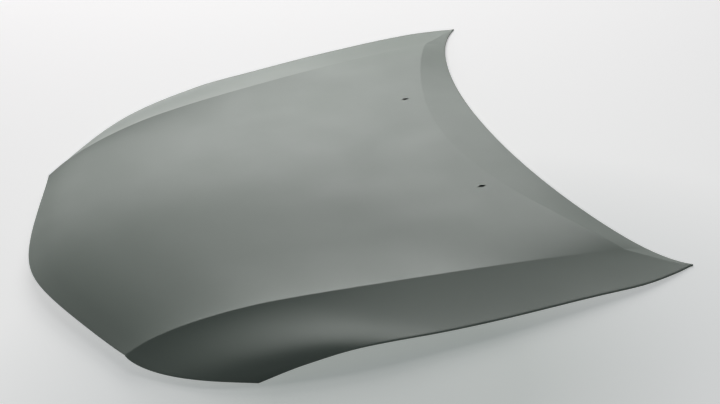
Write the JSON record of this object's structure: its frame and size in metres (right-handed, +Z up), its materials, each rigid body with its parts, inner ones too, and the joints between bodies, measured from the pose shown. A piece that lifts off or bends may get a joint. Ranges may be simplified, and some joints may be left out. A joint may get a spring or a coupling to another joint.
{
  "type": "car bonnet",
  "caption": "Pressed steel car bonnet in bare primer: creased outer skin hemmed round a ribbed inner frame, with hinge seats, a latch striker and washer jet slots.",
  "frame": {"origin": "on the floor that the bonnet lies on, under the middle of its bounding box", "axes": "+Z up, -Y towards the nose, +Y towards the windscreen, +X to the car's left side"},
  "size_m": [1.5286, 1.3078, 0.1098],
  "materials": {
    "skin_primer": "satin grey-green electrocoat primer",
    "frame_primer": "matt grey-green electrocoat primer",
    "zinc_steel": "dull zinc plate",
    "mastic": "matt cured mastic"
  },
  "bodies": {
    "root": {"outer_skin": "skin_primer", "inner_frame": "frame_primer", "front_dent_plate": "frame_primer", "hinge_reinforcement_left": "frame_primer", "hinge_nut_left_1": "zinc_steel", "hinge_nut_left_2": "zinc_steel", "hinge_reinforcement_right": "frame_primer", "hinge_nut_right_1": "zinc_steel", "hinge_nut_right_2": "zinc_steel", "latch_reinforcement": "frame_primer", "latch_striker": "zinc_steel", "latch_rivet_1": "zinc_steel", "latch_rivet_2": "zinc_steel", "mastic_bead_left_1": "mastic", "mastic_bead_right_1": "mastic", "mastic_bead_left_2": "mastic", "mastic_bead_right_2": "mastic", "mastic_bead_left_3": "mastic", "mastic_bead_right_3": "mastic", "mastic_bead_left_4": "mastic", "mastic_bead_right_4": "mastic", "mastic_bead_left_5": "mastic", "mastic_bead_right_5": "mastic", "mastic_bead_left_6": "mastic", "mastic_bead_right_6": "mastic", "mastic_bead_left_7": "mastic", "mastic_bead_right_7": "mastic"}
  },
  "joints": []
}
